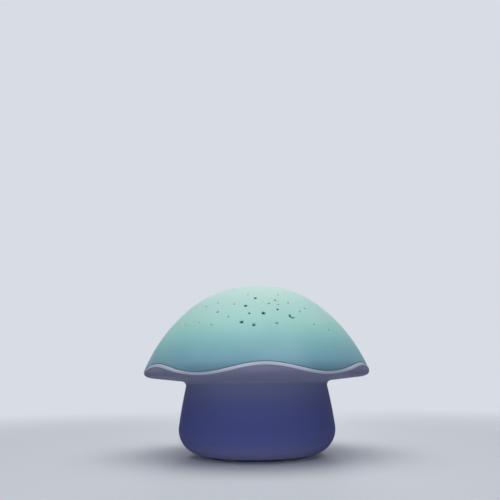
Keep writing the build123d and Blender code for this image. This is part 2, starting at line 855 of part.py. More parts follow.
def led_post():
    flange_top = deck_top + post_flange_thickness
    post = rod(post_flange_radius, deck_top, flange_top)
    column = Cone(post_base_radius, post_top_radius, led_board_bottom - flange_top)
    post = post + Pos(0, 0, (led_board_bottom + flange_top) / 2) * column
    post = post - rod(wire_hole_radius, 0, far)
    for x in (-post_screw_place, post_screw_place):
        post = post - rod(small_screw[2] + screw_gap, 0, far, x)
    for y in (-led_screw_place, led_screw_place):
        low = led_board_top - led_screw_length - bore_end_gap
        post = post - rod(small_screw[2] + screw_gap, low, far, 0, y)
    return post


def led_post_screws():
    seat = deck_top + post_flange_thickness
    single = Pos(0, 0, seat) * screw(small_screw, small_screw_length)
    return group([Pos(x, 0, 0) * single for x in (-post_screw_place, post_screw_place)])


def led_board():
    board = rod(led_board_radius, led_board_bottom, led_board_top)
    for y in (-led_screw_place, led_screw_place):
        board = board - rod(small_screw[2] + screw_gap, 0, far, 0, y)
    return board


def led_board_screws():
    single = Pos(0, 0, led_board_top) * screw(small_screw, led_screw_length)
    return group([Pos(0, y, 0) * single for y in (-led_screw_place, led_screw_place)])


def led_package():
    return block(led_side, led_side, led_board_top, led_board_top + led_body_height)


def led_lens():
    base = led_board_top + led_body_height
    return (Pos(0, 0, base) * Sphere(led_lens_radius)) & rod(led_side, base, far)


# ---------------------------------------------------------------- wires
def wire(points, bend):
    """A round wire along straight runs joined by arcs."""
    path = FilletPolyline(*points, radius=bend)
    section = Plane(origin=path @ 0, z_dir=path % 0) * Circle(wire_radius)
    return sweep(section, path)


def led_wires():
    plug = board_top + connector_size[2]
    rise = deck_height - plug
    runs = []
    for x in (-wire_pitch / 2, wire_pitch / 2):
        runs.append(wire([
            (x, connector_y[0], plug),
            (x, connector_y[0], plug + rise * led_wire_turns[0]),
            (x, 0, plug + rise * led_wire_turns[1]),
            (x, 0, led_board_bottom),
        ], led_wire_bend))
    return group(runs)


def switch_wires():
    plug = board_top + connector_size[2]
    runs = []
    for x in (-wire_pitch, 0, wire_pitch):
        runs.append(wire([
            (x, connector_y[1], plug),
            (x, connector_y[1], plug + switch_wire_rise),
            (x, switch_board_face - board_thickness, plug + switch_wire_rise),
        ], switch_wire_bend))
    return group(runs)


def battery_wires():
    runs = []
    for side in (-1, 1):
        outside = side * (board_size[0] / 2 + battery_wire_out)
        inside = side * (board_size[0] / 2 - battery_wire_out)
        high = board_top + battery_wire_out
        runs.append(wire([
            (outside, side * battery_wire_y, box_top),
            (outside, side * battery_wire_y, high),
            (inside, side * battery_wire_y, high),
            (inside, side * battery_wire_y, board_top),
        ], battery_wire_bend))
    return group(runs)


def main():
    os.makedirs("parts", exist_ok=True)
    for make in (
        cap_shell, star_lens_dome, body_shell, bottom_cover, battery_door, door_screw, bottom_cover_screws,
        rubber_feet, battery_springs, contact_plates, control_panel, switch_bodies, switch_board,
        switch_board_screws, main_board, main_board_screws, controller_chip, board_capacitor, chip_resistors,
        board_connectors, light_deck, light_deck_screws, led_post, led_post_screws, led_board,
        led_board_screws, led_package, led_lens, led_wires, switch_wires, battery_wires,
    ):
        save(make.__name__, make())
    for row in range(cell_count):
        save("battery_%d" % (row + 1), cell(row))
    for name, x in button_places.items():
        save(name + "_button", button(x))
        save(name + "_plunger", plunger(x))


main()
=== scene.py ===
from math import acos, asin, atan2, cos, degrees, hypot, pi, radians, sin, sqrt, tan

import bpy
from mathutils import Matrix, Vector


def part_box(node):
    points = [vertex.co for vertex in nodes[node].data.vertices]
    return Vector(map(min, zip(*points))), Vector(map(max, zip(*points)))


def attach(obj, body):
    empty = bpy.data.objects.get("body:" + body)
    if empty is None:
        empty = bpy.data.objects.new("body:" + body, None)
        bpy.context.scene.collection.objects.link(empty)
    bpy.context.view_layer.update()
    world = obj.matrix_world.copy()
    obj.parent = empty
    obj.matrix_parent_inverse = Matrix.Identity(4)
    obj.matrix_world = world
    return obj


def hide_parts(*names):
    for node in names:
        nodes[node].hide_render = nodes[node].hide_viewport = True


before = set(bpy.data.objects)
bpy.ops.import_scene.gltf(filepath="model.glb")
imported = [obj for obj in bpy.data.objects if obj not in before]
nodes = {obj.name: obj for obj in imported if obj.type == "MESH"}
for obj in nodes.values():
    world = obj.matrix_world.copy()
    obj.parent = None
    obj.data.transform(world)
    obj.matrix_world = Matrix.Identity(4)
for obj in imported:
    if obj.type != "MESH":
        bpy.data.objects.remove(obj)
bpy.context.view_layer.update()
scene = bpy.context.scene
mm = 0.001


def addObject(name, data):
    made = bpy.data.objects.new(name, data)
    scene.collection.objects.link(made)
    return made


# A socket that sums can be written with, in shader trees and in geometry trees
class Feed:
    def __init__(self, graph, socket):
        self.graph = graph
        self.socket = socket

    def maths(self, operation, *values):
        return self.graph.node("ShaderNodeMath", {"operation": operation}, dict(enumerate(values)))

    def __add__(self, other):
        return self.maths("ADD", self, other)

    def __radd__(self, other):
        return self.maths("ADD", other, self)

    def __sub__(self, other):
        return self.maths("SUBTRACT", self, other)

    def __rsub__(self, other):
        return self.maths("SUBTRACT", other, self)

    def __mul__(self, other):
        return self.maths("MULTIPLY", self, other)

    def __rmul__(self, other):
        return self.maths("MULTIPLY", other, self)

    def __truediv__(self, other):
        return self.maths("DIVIDE", self, other)

    def __gt__(self, other):
        return self.maths("GREATER_THAN", self, other)

    def __lt__(self, other):
        return self.maths("LESS_THAN", self, other)

    def cosine(self):
        return self.maths("COSINE", self)

    def sine(self):
        return self.maths("SINE", self)

    def root(self):
        return self.maths("SQRT", self)

    def __abs__(self):
        return self.maths("ABSOLUTE", self)

    def step(self, low, high):  # 0 below low, 1 above high, smooth between
        settings = {"interpolation_type": "SMOOTHSTEP"}
        return self.graph.node("ShaderNodeMapRange", settings, {"Value": self, 1: low, 2: high})


# Any node comes from here: its type, its settings, what its inputs get, and the output wanted
class Graph:
    def __init__(self, tree):
        self.tree = tree
        tree.nodes.clear()

    def node(self, kind, settings=None, inputs=None, output=0):
        made = self.tree.nodes.new(kind)
        for name, value in (settings or {}).items():
            if name == "stops":
                self.setStops(made.color_ramp, value)
            else:
                setattr(made, name, value)
        for name, value in (inputs or {}).items():
            if isinstance(value, Feed):
                self.tree.links.new(value.socket, made.inputs[name])
            else:
                made.inputs[name].default_value = value
        return Feed(self, made.outputs[output]) if made.outputs else made

    def seen(self):  # 1 where the camera, a reflection or a clear part looks, 0 where light falls
        ray = self.node("ShaderNodeLightPath").socket.node
        kinds = ("Camera", "Glossy", "Transmission")
        camera, gloss, through = (Feed(self, ray.outputs[f"Is {kind} Ray"]) for kind in kinds)
        return camera + gloss + through

    def setStops(self, ramp, stops):
        ramp.interpolation = "CARDINAL"
        while len(ramp.elements) < len(stops):
            ramp.elements.new(0.5)
        for element, (place, colour) in zip(ramp.elements, stops):
            element.position = place
            element.color = colour


def srgb(red, green, blue):
    parts = [part / 255 for part in (red, green, blue)]
    return [part / 12.92 if part < 0.04045 else ((part + 0.055) / 1.055) ** 2.4 for part in parts] + [1.0]


# Materials
class Finish(Graph):
    def __init__(self, name):
        self.material = bpy.data.materials.new(name)
        self.material.use_nodes = True
        super().__init__(self.material.node_tree)

    def place(self):
        return self.node("ShaderNodeTexCoord", None, None, "Object")

    def along(self, axis):
        return self.node("ShaderNodeSeparateXYZ", None, {"Vector": self.place()}, axis)

    def noise(self, size, detail=3.0, rough=0.5, stretch=(1, 1, 1)):
        spread = self.node("ShaderNodeMapping", None, {"Vector": self.place(), "Scale": stretch})
        values = {"Vector": spread, "Scale": 1 / (size * mm), "Detail": detail, "Roughness": rough}
        return self.node("ShaderNodeTexNoise", None, values, "Fac")

    def mix(self, share, first, second):
        return self.node("ShaderNodeMix", {"data_type": "RGBA"}, {0: share, 6: first, 7: second}, 2)

    def ramp(self, value, *stops):
        return self.node("ShaderNodeValToRGB", {"stops": stops}, {"Fac": value})

    def bump(self, height, depth, strength=1.0, under=None):
        values = {"Height": height, "Distance": depth * mm, "Strength": strength}
        if under:
            values["Normal"] = under
        return self.node("ShaderNodeBump", None, values)

    def edgeWear(self):  # how sharply the surface turns, from a bevelled normal
        soft = self.node("ShaderNodeBevel", {"samples": 4}, {"Radius": 0.6 * mm})
        sharp = self.node("ShaderNodeNewGeometry", None, None, "Normal")
        both = self.node("ShaderNodeVectorMath", {"operation": "DOT_PRODUCT"}, {0: soft, 1: sharp}, "Value")
        return (1 - both).step(0.02, 0.25)

    def shader(self, values):
        return self.node("ShaderNodeBsdfPrincipled", None, values)

    def output(self, shader):
        self.node("ShaderNodeOutputMaterial", None, {"Surface": shader})
        return self.material

    def surface(self, values):
        return self.output(self.shader(values))


# m, the heights between which the cap's painted light and shade and its glow run
capShadingAndGlow = {"low": 0.050, "high": 0.106, "glowFrom": 0.053, "glowFull": 0.082, "glow": 0.17}


def capMint():
    finish = Finish("capMint")
    z = finish.along("Z")
    # painted light and shade: dark teal by the seam, where the lip shades the cap, paling towards the top,
    # where the light falls
    tone = finish.ramp(
        (z - capShadingAndGlow["low"]) / (capShadingAndGlow["high"] - capShadingAndGlow["low"]),
        (0.0, srgb(82, 118, 134)), (0.12, srgb(118, 163, 179)), (0.34, srgb(135, 187, 188)),
        (0.52, srgb(152, 196, 189)), (0.78, srgb(173, 206, 199)), (1.0, srgb(194, 216, 209)),
    )
    cloud = finish.noise(38, 2.0)
    tone = finish.mix(cloud.step(0.42, 0.75) * 0.22, tone, srgb(176, 214, 220))
    lit = z.step(capShadingAndGlow["glowFrom"], capShadingAndGlow["glowFull"])
    grain = finish.noise(0.35, 2.0)
    peel = finish.noise(2.4, 1.0)
    marks = finish.noise(9, 6.0, 0.7, (1, 1, 0.25))
    normal = finish.bump(grain, 0.012, 0.5)
    return finish.surface({
        "Base Color": tone,
        "Roughness": 0.46 + 0.10 * marks + 0.05 * grain,
        "Normal": finish.bump(peel, 0.02, 0.35, normal),
        "Specular IOR Level": 0.12,
        "Subsurface Weight": 0.12,
        "Subsurface Radius": (0.006, 0.008, 0.008),
        "Subsurface Scale": 0.5,
        "Coat Weight": 0.04,
        "Coat Roughness": 0.4,
        "Emission Color": finish.mix(lit, srgb(0, 0, 0), tone),  # the lamp shows through
        "Emission Strength": capShadingAndGlow["glow"],
        "Sheen Weight": 0.06,
        "Sheen Roughness": 0.5,
        "IOR": 1.46,
    })


# m, the top of the shell's painted light and shade, the band under the brim given a painted glow, and the
# scuffed foot
shellShadingGlowAndScuff = {
    "high": 0.056, "glowFrom": 0.0438, "glowFull": 0.0462, "glowFades": 0.0472, "glowEnds": 0.0508,
    "glow": 0.09, "scuffFades": 0.001, "scuffEnds": 0.006,
}


def shellLavender():
    finish = Finish("shellLavender")
    z = finish.along("Z")
    # painted light and shade: the one plastic is painted paler at the foot and under the brim, where real
    # shade falls, and darker and bluer on the stem
    tone = finish.ramp(
        z / shellShadingGlowAndScuff["high"],
        (0.0, srgb(136, 142, 190)), (0.2, srgb(92, 99, 158)), (0.55, srgb(88, 94, 149)),
        (0.76, srgb(104, 109, 148)), (0.8, srgb(106, 110, 144)), (0.83, srgb(116, 119, 150)),
        (0.86, srgb(127, 131, 162)), (1.0, srgb(121, 124, 147)),
    )
    cloud = finish.noise(30, 2.0)
    tone = finish.mix(cloud.step(0.45, 0.8) * 0.15, tone, srgb(98, 100, 132))
    # painted highlight: the bead's band is painted pale for the light its rolled edge catches
    bead = finish.node("ShaderNodeAttribute", {"attribute_name": "bead"}, None, "Fac")
    tone = finish.mix(bead, tone, srgb(190, 196, 214))
    grain = finish.noise(0.28, 3.0, 0.6)
    marks = finish.noise(7, 6.0, 0.7, (1, 1, 0.3))
    scuff = finish.noise(0.9, 4.0, 0.65, (0.15, 1, 1)).step(0.63, 0.72)
    low = 1 - z.step(shellShadingGlowAndScuff["scuffFades"], shellShadingGlowAndScuff["scuffEnds"])
    tone = finish.mix(low * scuff * 0.5, tone, srgb(92, 92, 108))
    # painted light: a faint glow in the band under the brim, lifting the shade that falls there
    rise = z.step(shellShadingGlowAndScuff["glowFrom"], shellShadingGlowAndScuff["glowFull"])
    underBrimShadeFill = rise * (1 - z.step(shellShadingGlowAndScuff["glowFades"], shellShadingGlowAndScuff["glowEnds"]))
    return finish.surface({
        "Base Color": tone,
        "Emission Color": finish.mix(underBrimShadeFill, srgb(0, 0, 0), srgb(196, 204, 240)),
        "Emission Strength": shellShadingGlowAndScuff["glow"],
        "Roughness": 0.5 + 0.12 * marks + 0.06 * grain,
        "Normal": finish.bump(grain, 0.02, 0.6),
        "Subsurface Weight": 0.06,
        "Subsurface Radius": (0.005, 0.005, 0.007),
        "Subsurface Scale": 0.4,
        "Specular IOR Level": 0.05,
        "IOR": 1.46,
    })


def clearDome():
    finish = Finish("clearDome")
    flow = finish.noise(14, 2.0)
    # painted shade: the clear dome is tinted dark teal for the dark inside seen through it
    tone = finish.mix(flow, srgb(14, 58, 58), srgb(22, 74, 70))
    return finish.surface({
        "Base Color": tone,
        "Roughness": 0.12 + 0.1 * flow,
        "Alpha": 0.82 + 0.06 * flow,
        "IOR": 1.5,
    })


# painted shade: the real windows are clear; their panes are painted dark teal for the dark inside of the
# cap seen through them
def smokedPane():
    finish = Finish("smokedPane")
    flow = finish.noise(1.8, 3.0)
    tone = finish.mix(flow, srgb(0, 58, 50), srgb(3, 72, 62))
    return finish.surface({
        "Base Color": tone,
        "Roughness": 0.34 + 0.16 * flow,
        "Normal": finish.bump(finish.noise(0.5, 2.0), 0.01, 0.5),
        "Specular IOR Level": 0.04,
        "IOR": 1.45,
    })


def mouldedPlastic(name, light, dark, rough, grainSize, wear=None):
    finish = Finish(name)
    cloud = finish.noise(11, 3.0)
    tone = finish.mix(cloud, srgb(*dark), srgb(*light))
    if wear:
        worn = finish.edgeWear() * finish.noise(1.6, 5.0, 0.7).step(0.45, 0.7)
        tone = finish.mix(worn * 0.6, tone, srgb(*wear))
    grain = finish.noise(grainSize, 2.0)
    marks = finish.noise(5, 6.0, 0.7)
    return finish.surface({
        "Base Color": tone,
        "Roughness": rough + 0.12 * marks + 0.05 * grain,
        "Normal": finish.bump(grain, 0.015, 0.5),
        "IOR": 1.47,
    })


def footRubber():
    finish = Finish("footRubber")
    dust = finish.noise(1.2, 6.0, 0.7).step(0.5, 0.75)
    tone = finish.mix(dust * 0.5, srgb(58, 59, 64), srgb(120, 118, 114))
    grain = finish.noise(0.16, 3.0, 0.7)
    return finish.surface({
        "Base Color": tone,
        "Roughness": 0.8 + 0.15 * dust,
        "Normal": finish.bump(grain, 0.03, 0.8),
        "IOR": 1.5,
    })


def screwSteel():
    finish = Finish("screwSteel")
    turned = finish.noise(0.25, 4.0, 0.6, (1, 1, 0.12))
    stain = finish.noise(1.4, 5.0, 0.6)
    tone = finish.mix(stain.step(0.4, 0.75), srgb(186, 188, 192), srgb(150, 146, 138))
    return finish.surface({
        "Base Color": tone,
        "Metallic": 1.0,
        "Roughness": 0.24 + 0.2 * turned + 0.14 * stain,
        "Normal": finish.bump(turned, 0.01, 0.6),
    })


def contactMetal():
    finish = Finish("contactMetal")
    brushed = finish.noise(0.3, 4.0, 0.6, (1, 0.08, 1))
    tone = finish.mix(finish.noise(2.5, 4.0).step(0.4, 0.8), srgb(212, 206, 190), srgb(172, 160, 132))
    return finish.surface({
        "Base Color": tone,
        "Metallic": 1.0,
        "Roughness": 0.22 + 0.22 * brushed,
        "Normal": finish.bump(brushed, 0.008, 0.6),
    })


def greenBoard():
    finish = Finish("greenBoard")
    layout = {"Scale": 160.0, "Mortar Size": 0.03, "Brick Width": 0.9, "Row Height": 0.28}
    layout["Vector"] = finish.place()
    tracks = finish.node("ShaderNodeTexBrick", {"offset": 0.5}, layout, "Fac")
    pads = finish.node("ShaderNodeTexVoronoi", None, {"Vector": finish.place(), "Scale": 330.0}, "Distance")
    spots = pads < 0.16
    tone = finish.mix(tracks, srgb(18, 92, 52), srgb(34, 124, 70))
    tone = finish.mix(spots, tone, srgb(204, 176, 104))
    height = tracks * 0.6 + spots
    return finish.surface({
        "Base Color": tone,
        "Metallic": spots * 0.9,
        "Roughness": 0.3 + 0.12 * finish.noise(3, 4.0),
        "Normal": finish.bump(height, 0.04, 0.6),
        "Coat Weight": 0.2,
        "IOR": 1.5,
    })


def capacitorCan():
    finish = Finish("capacitorCan")
    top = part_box("board_capacitor")[1].z
    end = finish.along("Z") > top - 0.2 * mm  # the bare end of the can
    streak = finish.noise(0.2, 3.0, 0.5, (1, 0.1, 1))
    sleeve = finish.mix(finish.noise(0.8, 3.0), srgb(24, 26, 34), srgb(36, 40, 52))
    tone = finish.mix(end, sleeve, srgb(192, 194, 198))
    return finish.surface({
        "Base Color": tone,
        "Metallic": end * 0.95,
        "Roughness": 0.3 + 0.15 * streak,
        "Normal": finish.bump(streak, 0.008, 0.5),
    })


def wireInsulation():
    finish = Finish("wireInsulation")
    plus = finish.along("X") > 0.6 * mm  # red wires lie to the right of the black ones
    tone = finish.mix(plus, srgb(34, 35, 38), srgb(176, 34, 30))
    tone = finish.mix(finish.noise(2, 3.0) * 0.25, tone, srgb(120, 110, 104))
    return finish.surface({
        "Base Color": tone,
        "Roughness": 0.42 + 0.15 * finish.noise(0.6, 4.0),
        "Normal": finish.bump(finish.noise(0.3), 0.01),
        "IOR": 1.5,
    })


def cellCan(node):
    # a plain wrapper in two colours round the can, with bare metal at both ends
    finish = Finish("cellCan")
    low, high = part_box(node)
    middle = (low.x + high.x) / 2
    reach = (high.x - low.x) / 2
    across = finish.along("X") - middle
    bare = abs(across) > reach - 1.6 * mm
    towards = -1 if node == "battery_2" else 1  # the middle cell lies the other way round
    band = across * towards > reach * 0.42
    streak = finish.noise(0.3, 3.0, 0.5, (0.1, 1, 1))
    tone = finish.mix(band, srgb(38, 42, 50), srgb(64, 148, 142))
    tone = finish.mix(bare, tone, srgb(206, 204, 198))
    return finish.surface({
        "Base Color": tone,
        "Metallic": bare * 0.95 + (1 - bare) * 0.35,
        "Roughness": 0.26 + 0.12 * streak + 0.08 * finish.noise(4, 4.0),
        "Normal": finish.bump(streak, 0.006, 0.5),
    })


def lightPart(name, colour, glow, strength):
    finish = Finish(name)
    mottle = finish.noise(0.5, 3.0)
    tone = finish.mix(mottle * 0.3, srgb(*colour), srgb(222, 196, 84))
    return finish.surface({
        "Base Color": tone,
        "Roughness": 0.25 + 0.1 * mottle,
        "Emission Color": finish.mix(mottle, srgb(*glow), srgb(255, 246, 214)),
        "Emission Strength": strength,
        "Coat Weight": 0.4,
        "IOR": 1.45,
    })


print("materials")
capFinish = capMint()
paneFinish = smokedPane()
shellFinish = shellLavender()
panelFinish = mouldedPlastic("panelMint", (170, 214, 206), (158, 204, 196), 0.4, 0.3, (206, 230, 224))
buttonFinish = mouldedPlastic("buttonWhite", (236, 238, 240), (224, 227, 232), 0.3, 0.4, (250, 250, 250))
markFinish = mouldedPlastic("markTeal", (104, 162, 160), (92, 150, 150), 0.36, 0.3, (150, 196, 190))
blackFinish = mouldedPlastic("blackPlastic", (34, 35, 38), (24, 25, 28), 0.45, 0.2, (74, 76, 80))
whiteFinish = mouldedPlastic("whitePlastic", (232, 230, 222), (222, 219, 208), 0.38, 0.4)
reflectorFinish = mouldedPlastic("reflectorWhite", (240, 241, 240), (230, 232, 232), 0.5, 0.25)
steelFinish = screwSteel()
boardFinish = greenBoard()
wireFinish = wireInsulation()
contactFinish = contactMetal()
finishes = {
    "cap_shell": capFinish, "body_shell": shellFinish, "bottom_cover": shellFinish,
    "battery_door": shellFinish, "star_lens_dome": clearDome(), "rubber_feet": footRubber(),
    "control_panel": panelFinish, "switch_bodies": blackFinish, "controller_chip": blackFinish,
    "chip_resistors": blackFinish, "board_connectors": whiteFinish, "board_capacitor": capacitorCan(),
    "light_deck": reflectorFinish, "led_post": reflectorFinish,
    "led_package": lightPart("ledBody", (236, 232, 214), (255, 240, 190), 0.1),
    "led_lens": lightPart("ledLens", (250, 226, 120), (255, 236, 160), 0.4),
    "main_board": boardFinish, "switch_board": boardFinish, "led_board": whiteFinish,
    "battery_springs": contactFinish, "contact_plates": contactFinish,
}
endings = {
    "button": buttonFinish, "plunger": blackFinish, "wires": wireFinish, "screws": steelFinish,
    "screw": steelFinish,
}
for name in nodes:
    ending = name.split("_")[-1]
    if ending in endings:
        finishes[name] = endings[ending]
    if name.startswith("battery_") and ending.isdigit():
        finishes[name] = cellCan(name)
for name, node in nodes.items():
    for place in node.material_slots:
        place.material = finishes[name]


# The shell's form, in mm, worked out from a few driving sizes and the frame
seam = {"lobes": 6, "height": 53.6, "reach": 2.65}  # the wave between cap and body
shape = {
    "crownRadius": 64.5,
    "crownAngle": 39.5,
    "flankRadius": 98.0,
    "capWall": 2.0,
    "capEdge": 0.3,        # rounding of the cap's edge
    "seamGap": 0.2,
    "lipInset": 1.95,      # the lip's inner face inside the cap's surface
    "footHeight": 1.0,
    "soleRadius": 33.4,
    "cornerRadius": 15.2,
    "flareRadius": 320.0,
    "flareStart": 8.0,
    "neckFillet": 2.8,
    "underRadius": 52.5,   # the brim's underside passes through this radius and height
    "underHeight": 46.62,
    "brimSlope": 6.3,
    "wall": 2.2,
    "grooveFloor": 49.95,
    "grooveRise": 1.65,    # the groove's inner wall is set out this far above its floor
    "domeGap": 0.1,        # between the cap and the clear dome
    "domeWall": 1.6,
    "seatGap": 0.15,
    "shelfLow": 4.2,
    "shelfHigh": 6.2,
    "shelfInner": 37.62,
    "coverGap": 0.2,
    "mouthEdge": 0.25,     # slope at the rim of the cover's opening
    "restInner": 60.83,
    "restOuter": 64.33,
    "restTop": 50.88,
    "turns": 360,          # faces round the axis
}
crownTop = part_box("cap_shell")[1].z / mm
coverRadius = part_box("bottom_cover")[1].x / mm
crownZ = crownTop - shape["crownRadius"]
flankStep = shape["crownRadius"] - shape["flankRadius"]
flankR = flankStep * sin(radians(shape["crownAngle"]))
flankZ = crownZ + flankStep * cos(radians(shape["crownAngle"]))
cornerZ = shape["footHeight"] + shape["cornerRadius"]
flareStep = shape["cornerRadius"] - shape["flareRadius"]
flareR = shape["soleRadius"] + flareStep * cos(radians(shape["flareStart"]))
flareZ = cornerZ + flareStep * sin(radians(shape["flareStart"]))
slope = radians(shape["brimSlope"])
crest = seam["height"] + seam["reach"]
trough = seam["height"] - seam["reach"]


def flank(z, inset=0.0):
    return flankR + sqrt((shape["flankRadius"] - inset) ** 2 - (z - flankZ) ** 2)


def brim(r, inset=0.0):
    return shape["underHeight"] + (r - shape["underRadius"]) * tan(slope) + inset / cos(slope)


def arc(r, z, radius, start, end, count):
    angles = [radians(start + (end - start) * step / count) for step in range(count + 1)]
    return [(r + radius * cos(angle), z + radius * sin(angle)) for angle in angles]


def run(first, last, count):
    across, up = last[0] - first[0], last[1] - first[1]
    return [(first[0] + across * step / count, first[1] + up * step / count) for step in range(count + 1)]


def bend(first, firstHand, lastHand, last, count):
    points = []
    hands = (first, firstHand, lastHand, last)
    for step in range(count + 1):
        t = step / count
        shares = ((1 - t) ** 3, 3 * t * (1 - t) ** 2, 3 * t * t * (1 - t), t ** 3)
        pairs = list(zip(shares, hands))
        points.append(tuple(sum(share * hand[axis] for share, hand in pairs) for axis in (0, 1)))
    return points


def flankAngle(z):
    return degrees(asin((z - flankZ) / shape["flankRadius"]))


def onFlank(depth, outward, seamZ):
    # a point this far below the seam along the flank, and this far outside the cap's surface
    angle = radians(flankAngle(seamZ)) - depth / shape["flankRadius"]
    radius = shape["flankRadius"] + outward
    return flankR + radius * cos(angle), flankZ + radius * sin(angle)


def joined(*runs):
    # end to end, with a point that two of them share taken once
    points = []
    for one in runs:
        for point in one:
            if not points or hypot(point[0] - points[-1][0], point[1] - points[-1][1]) > 1e-4:
                points.append(point)
    return points


# the neck's fillet, found by closing in on the centre that both surfaces share
filletR, filletZ = 44.0, shape["underHeight"]
for _ in range(60):
    filletR = flareR + sqrt((shape["flareRadius"] + shape["neckFillet"]) ** 2 - (filletZ - flareZ) ** 2)
    filletZ = brim(filletR, -shape["neckFillet"])
flareEnd = degrees(atan2(filletZ - flareZ, filletR - flareR))


lip = {
    "beadHeight": 2.1,
    "beadProud": 0.2,
    "beadRoll": 0.6,       # how far the bead's top rolls in
    "inset": 0.1,          # the lip inside the line of the cap
    "flankStart": 58.0,    # the cap's line is followed down from here
    "flankEnd": 53.0,      # to here
    "noseRadius": 69.5,
    "noseHeight": 51.1,
    "underEnd": 63.6,      # the flat underside ends here
    "sideHand": 0.75,      # how long the curve runs on before it turns
    "underHand": 0.55,     # the same, as a share of the way in
}


def noseLine():
    # from the cap's line, over the outermost point, to the underside
    high, low = flankAngle(lip["flankStart"]), flankAngle(lip["flankEnd"])
    first = arc(flankR, flankZ, shape["flankRadius"] - lip["inset"], high, low, 30)
    last = (lip["underEnd"], brim(lip["underEnd"]))
    nose = (lip["noseRadius"], lip["noseHeight"])
    long = lip["sideHand"]
    hand = (first[-1][0] + long * sin(radians(low)), first[-1][1] - long * cos(radians(low)))
    width, height = (nose[0] - last[0]) * lip["underHand"], (nose[1] - last[1]) * lip["underHand"]
    side = bend(first[-1], hand, (nose[0], nose[1] + long), nose, 16)
    inward = (last[0] + width, brim(last[0] + width))
    under = bend(nose, (nose[0], nose[1] - height), inward, last, 40)
    return joined(first, side, under)


def beside(line, travel, outward=0.0):
    # the point this far along a line, and this far to its outer side
    for (r, z), (nextR, nextZ) in zip(line, line[1:]):
        length = hypot(nextR - r, nextZ - z)
        if travel <= length:
            break
        travel -= length
    alongR, alongZ = (nextR - r) / length, (nextZ - z) / length
    return r + alongR * travel - alongZ * outward, z + alongZ * travel + alongR * outward


def lipSection(seamZ):
    # underside, nose, bead and inner face, where the seam is this high
    line = noseLine()
    lengths = [hypot(b[0] - a[0], b[1] - a[1]) for a, b in zip(line, line[1:])]
    above = [step for step, point in enumerate(line) if point[1] > seamZ][-1]
    share = (line[above][1] - seamZ) / (line[above][1] - line[above + 1][1])
    top = sum(lengths[:above]) + lengths[above] * share
    foot = top + lip["beadHeight"]
    half = lip["beadHeight"] / 2
    nose = [beside(line, sum(lengths) + (foot - sum(lengths)) * step / 30) for step in range(31)]
    rolled = []
    for step in range(1, 25):
        angle = pi * step / 24 - pi / 2
        outward = lip["beadProud"] * cos(angle)
        if angle > 0:
            outward = (lip["beadProud"] + lip["beadRoll"]) * cos(angle) - lip["beadRoll"]
        rolled.append(beside(line, top + half * (1 - sin(angle)), outward))
    inner = onFlank(0, -shape["lipInset"], seamZ)
    floor = (flank(shape["grooveFloor"], shape["lipInset"]), shape["grooveFloor"])
    return nose, rolled, run(rolled[-1], inner, 4)[1:] + run(inner, floor, 5)[1:]


def bodySection(seamZ):
    wall = shape["wall"]
    mouth = coverRadius + shape["coverGap"]
    rim = cornerZ - sqrt(shape["cornerRadius"] ** 2 - (mouth - shape["soleRadius"]) ** 2)
    tip = mouth + shape["mouthEdge"]
    tipAngle = -degrees(acos((tip - shape["soleRadius"]) / shape["cornerRadius"]))
    outside = arc(shape["soleRadius"], cornerZ, shape["cornerRadius"], tipAngle, shape["flareStart"], 26)
    flare = arc(flareR, flareZ, shape["flareRadius"], shape["flareStart"], flareEnd, 20)
    neckLow, neckHigh = flareEnd + 180, 90 + shape["brimSlope"]
    neck = arc(filletR, filletZ, shape["neckFillet"], neckLow, neckHigh, 12)
    under = run(neck[-1], (lip["underEnd"], brim(lip["underEnd"])), 14)
    nose, rolled, lipInside = lipSection(seamZ)
    grooveInset = shape["capWall"] + shape["domeGap"] + shape["domeWall"] + shape["seatGap"]
    grooveWall = flank(shape["grooveFloor"] + shape["grooveRise"], grooveInset)
    restOuter, restInner, restTop = shape["restOuter"], shape["restInner"], shape["restTop"]
    inside = [
        (grooveWall, shape["grooveFloor"]), (grooveWall, brim(grooveWall, wall)),
        (restOuter, brim(restOuter, wall)), (restOuter, restTop),
        (restInner, restTop), (restInner, brim(restInner, wall)),
    ]
    innerNeck = arc(filletR, filletZ, shape["neckFillet"] + wall, neckHigh, neckLow, 10)
    innerFlare = arc(flareR, flareZ, shape["flareRadius"] - wall, flareEnd, shape["flareStart"], 14)
    innerCorner = shape["cornerRadius"] - wall
    shelfAngle = -degrees(asin((cornerZ - shape["shelfHigh"]) / innerCorner))
    innerLow = arc(shape["soleRadius"], cornerZ, innerCorner, shape["flareStart"], shelfAngle, 12)
    shelf = [
        (shape["shelfInner"], shape["shelfHigh"]), (shape["shelfInner"], shape["shelfLow"]),
        (mouth, shape["shelfLow"]),
    ]
    before = joined(outside, flare, neck, under, nose)
    points = joined(
        before, rolled, lipInside, inside, innerNeck, innerFlare, innerLow, shelf,
        [(mouth, rim + shape["mouthEdge"]), outside[0]],
    )
    return points, range(len(before), len(before) + len(rolled))


def capSection(seamZ):
    edge = shape["capEdge"]
    wall = shape["capWall"]
    low = seamZ + shape["seamGap"]
    joint = 90 - shape["crownAngle"]
    crown = arc(0, crownZ, shape["crownRadius"], 90, joint, 40)
    crown[0] = (0.0, crownTop)
    outer = arc(flankR, flankZ, shape["flankRadius"], joint, flankAngle(low + edge), 48)
    corner = []
    for step in range(1, 7):
        angle = pi / 2 * step / 6
        depth = -shape["seamGap"] - edge * (1 - sin(angle))
        corner.append(onFlank(depth, -edge * (1 - cos(angle)), seamZ))
    inner = onFlank(-shape["seamGap"], -wall, seamZ)
    innerAngle = degrees(atan2(inner[1] - flankZ, inner[0] - flankR))
    inside = arc(flankR, flankZ, shape["flankRadius"] - wall, innerAngle, joint, 28)
    ceiling = arc(0, crownZ, shape["crownRadius"] - wall, joint, 90, 26)
    ceiling[-1] = (0.0, crownTop - wall)
    return joined(crown, outer, corner, run(corner[-1], inner, 4), inside, ceiling), ()


